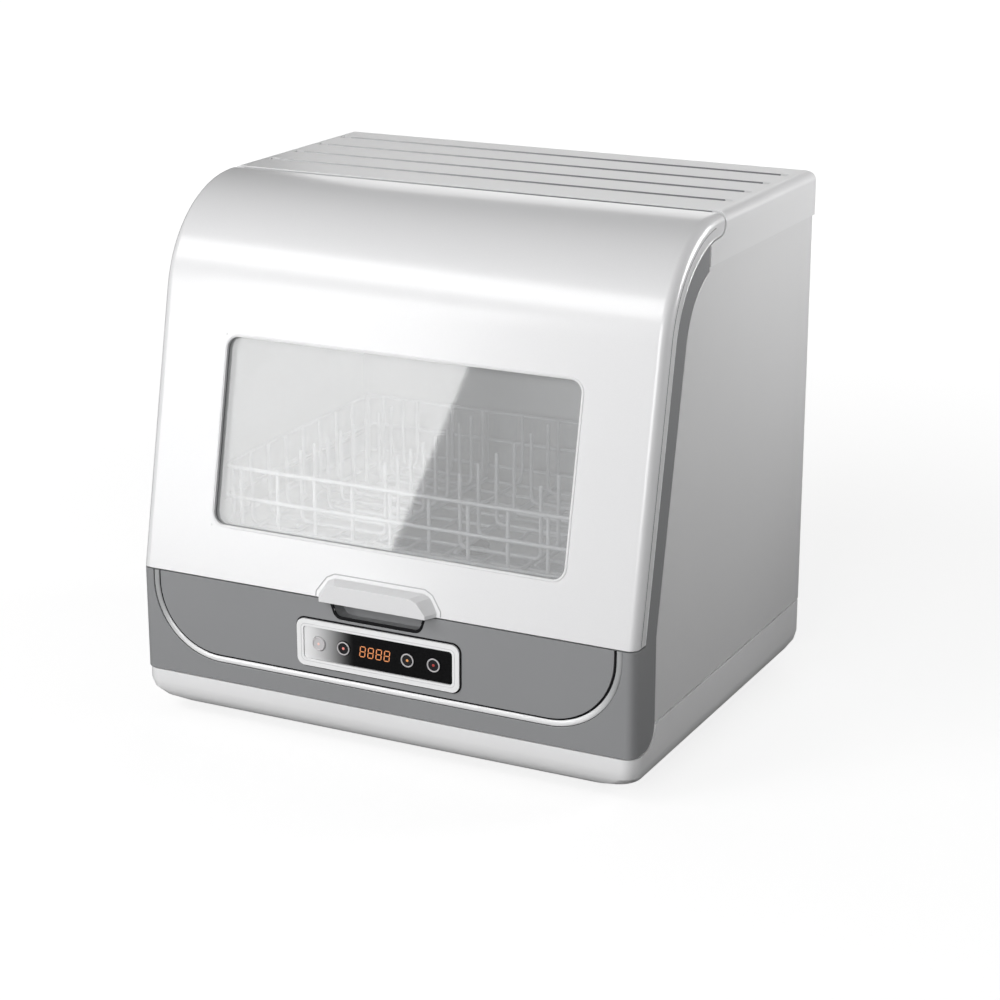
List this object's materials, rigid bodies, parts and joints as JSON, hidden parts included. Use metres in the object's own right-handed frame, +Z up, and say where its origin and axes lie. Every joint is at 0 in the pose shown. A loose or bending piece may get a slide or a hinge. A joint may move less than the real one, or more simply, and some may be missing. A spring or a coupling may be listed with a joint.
{
  "type": "countertop dishwasher",
  "caption": "Countertop dishwasher with a curved lift-up window door, sliding rack, spray arm, grey control panel and a flat grooved top.",
  "frame": {"origin": "middle of the space the machine takes on the worktop, at worktop height", "axes": "-Y out of the door, +X to the right hand of someone facing the door, +Z up"},
  "size_m": [0.45, 0.4, 0.44],
  "materials": {
    "base_plastic": "fine satin, light grey",
    "rubber": "matt black",
    "panel_plastic": "satin silver grey",
    "side_plastic": "satin silver grey",
    "coated_sheet": "satin grey coating",
    "cover_plastic": "satin, light grey",
    "tub_steel": "brushed",
    "seal_rubber": "soft matt",
    "dark_plastic": "satin",
    "filter_plastic": "satin",
    "heater_steel": "plain drawn tube",
    "valve_plastic": "satin",
    "black_plastic": "satin",
    "bezel_plastic": "gloss",
    "black_gloss": "high gloss",
    "board": "lacquered board",
    "rail_steel": "rolled sheet",
    "pin_steel": "turned and polished",
    "door_plastic": "pearl, soft gloss",
    "liner_plastic": "satin",
    "window_glass": "clear, tempered",
    "coated_wire": "smooth nylon coating",
    "basket_plastic": "satin",
    "arm_plastic": "satin",
    "key_plastic": "gloss"
  },
  "bodies": {
    "cabinet": {"base_tray": "base_plastic", "foot_front_left": "rubber", "foot_front_right": "rubber", "foot_rear_left": "rubber", "foot_rear_right": "rubber", "front_frame": "panel_plastic", "side_panel_left": "side_plastic", "side_panel_right": "side_plastic", "rear_panel": "coated_sheet", "top_cover": "cover_plastic", "tub": "tub_steel", "tub_seal": "seal_rubber", "sump": "dark_plastic", "filter_plate": "tub_steel", "filter_cup": "filter_plastic", "heater": "heater_steel", "spray_riser": "dark_plastic", "spray_cap": "dark_plastic", "wash_pump": "dark_plastic", "drain_pump": "dark_plastic", "inlet_valve": "valve_plastic", "drain_connector": "dark_plastic", "cord_gland": "black_plastic", "control_bezel": "bezel_plastic", "control_window": "black_gloss", "control_board": "board", "power_board": "board", "latch_housing": "black_plastic", "rack_rail_left": "rail_steel", "rack_rail_right": "rail_steel", "hinge_rail": "rail_steel", "hinge_bracket_left": "rail_steel", "hinge_bracket_right": "rail_steel", "hinge_pin_left": "pin_steel", "hinge_pin_right": "pin_steel", "screws": "pin_steel"},
    "door": {"door_shell": "door_plastic", "door_liner": "liner_plastic", "window_glass": "window_glass", "window_gasket": "seal_rubber", "door_handle": "door_plastic", "latch_tongue": "pin_steel"},
    "rack": {"dish_rack": "coated_wire", "plate_tines": "coated_wire", "bowl_tines": "coated_wire", "cutlery_basket": "basket_plastic", "rack_slides": "basket_plastic"},
    "arm": {"spray_arm": "arm_plastic"},
    "key_a": {"key_1": "key_plastic"},
    "key_b": {"key_2": "key_plastic"},
    "key_c": {"key_3": "key_plastic"},
    "key_d": {"key_4": "key_plastic"}
  },
  "joints": [
    {"name": "door_hinge", "type": "hinge", "parent": "cabinet", "child": "door", "pos_m": [0, -0.03989, 0.431], "axis": [-1, 0, 0], "range_deg": [0, 75]},
    {"name": "rack_slide", "type": "slide", "parent": "cabinet", "child": "rack", "axis": [0, -1, 0], "range_m": [0, 0.12]},
    {"name": "spray_spin", "type": "hinge", "parent": "cabinet", "child": "arm", "pos_m": [0, -0.02, 0.119], "axis": [0, 0, 1], "continuous": true},
    {"name": "key_a_press", "type": "slide", "parent": "cabinet", "child": "key_a", "axis": [0, 1, 0], "range_m": [0, 0.0008], "stiffness_N_per_m": 300, "springref_m": -0.0004},
    {"name": "key_b_press", "type": "slide", "parent": "cabinet", "child": "key_b", "axis": [0, 1, 0], "range_m": [0, 0.0008], "stiffness_N_per_m": 300, "springref_m": -0.0004},
    {"name": "key_c_press", "type": "slide", "parent": "cabinet", "child": "key_c", "axis": [0, 1, 0], "range_m": [0, 0.0008], "stiffness_N_per_m": 300, "springref_m": -0.0004},
    {"name": "key_d_press", "type": "slide", "parent": "cabinet", "child": "key_d", "axis": [0, 1, 0], "range_m": [0, 0.0008], "stiffness_N_per_m": 300, "springref_m": -0.0004}
  ],
  "couplings": [
    {"joint": "rack_slide", "follows": "door_hinge", "m_per_rad": 0.0916}
  ]
}
